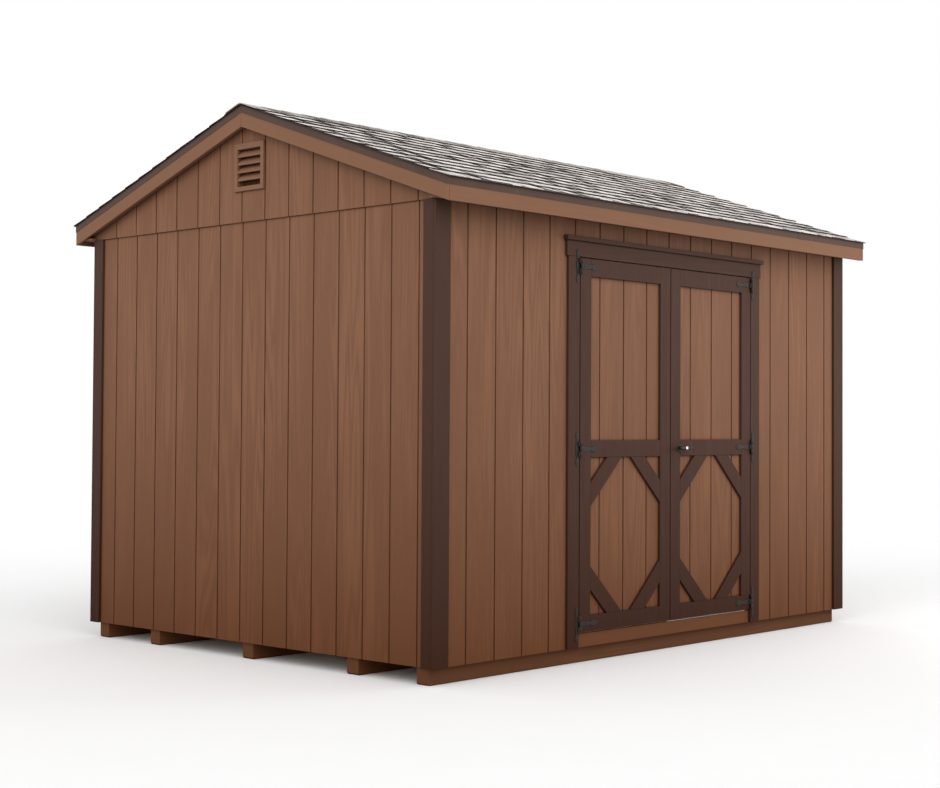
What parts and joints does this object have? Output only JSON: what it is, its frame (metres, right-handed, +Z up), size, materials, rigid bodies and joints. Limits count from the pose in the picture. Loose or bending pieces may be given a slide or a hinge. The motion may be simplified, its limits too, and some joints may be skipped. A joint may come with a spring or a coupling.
{
  "type": "wooden garden shed",
  "caption": "Gable-roofed timber garden shed on skids with grooved panel siding, louvred gable vents and hinged double doors.",
  "frame": {"origin": "middle of the footprint on the ground", "axes": "+X along the ridge and the door wall, -Y out of the doors, +Z up"},
  "size_m": [3.805, 3.281, 3.0562],
  "materials": {
    "treated_timber": "rough sawn timber under brown paint",
    "framing_timber": "sawn softwood",
    "deck_board": "bare panel",
    "siding_paint": "satin brown paint over embossed wood grain",
    "vent_paint": "satin brown paint",
    "trim_paint": "satin dark brown paint",
    "shingle": "mineral granules",
    "drip_metal": "dark brown enamel",
    "threshold_metal": "mill finish, scuffed",
    "black_iron": "black powder coat"
  },
  "bodies": {
    "shed": {"skids": "treated_timber", "floor_rims": "framing_timber", "floor_joists": "framing_timber", "wall_plates": "framing_timber", "wall_studs": "framing_timber", "door_beam": "framing_timber", "ridge_board": "framing_timber", "rafters": "framing_timber", "floor_deck": "deck_board", "roof_decks": "deck_board", "front_wall_left": "siding_paint", "front_wall_right": "siding_paint", "front_wall_over_door": "siding_paint", "door_sill": "siding_paint", "back_wall": "siding_paint", "left_wall": "siding_paint", "right_wall": "siding_paint", "left_gable": "siding_paint", "right_gable": "siding_paint", "eave_fascias": "siding_paint", "rake_boards": "siding_paint", "eave_soffits": "siding_paint", "rake_soffits": "siding_paint", "vent_frames": "vent_paint", "vent_slats": "vent_paint", "gable_corner_boards": "trim_paint", "eave_corner_boards": "trim_paint", "door_casings": "trim_paint", "header_board": "trim_paint", "header_cap": "trim_paint", "front_shingles": "shingle", "back_shingles": "shingle", "ridge_cap": "shingle", "eave_drip_edges": "drip_metal", "rake_drip_edges": "drip_metal", "threshold": "threshold_metal", "hinge_flanges": "black_iron"},
    "left_door": {"left_door_panel": "siding_paint", "left_door_frame": "framing_timber", "left_door_trim": "trim_paint", "left_hinge_straps": "black_iron"},
    "right_door": {"right_door_panel": "siding_paint", "right_door_frame": "framing_timber", "right_door_trim": "trim_paint", "right_hinge_straps": "black_iron", "handle_plate": "black_iron"},
    "handle": {"t_handle": "black_iron"}
  },
  "joints": [
    {"name": "left_door_hinge", "type": "hinge", "parent": "shed", "child": "left_door", "pos_m": [-0.771, -1.512, 1.158], "axis": [0, 0, -1], "range_deg": [0, 170]},
    {"name": "right_door_hinge", "type": "hinge", "parent": "shed", "child": "right_door", "pos_m": [0.803, -1.512, 1.158], "axis": [0, 0, 1], "range_deg": [0, 170]},
    {"name": "handle_turn", "type": "hinge", "parent": "right_door", "child": "handle", "pos_m": [0.099, -1.531, 1.158], "axis": [0, -1, 0], "range_deg": [0, 90]}
  ]
}
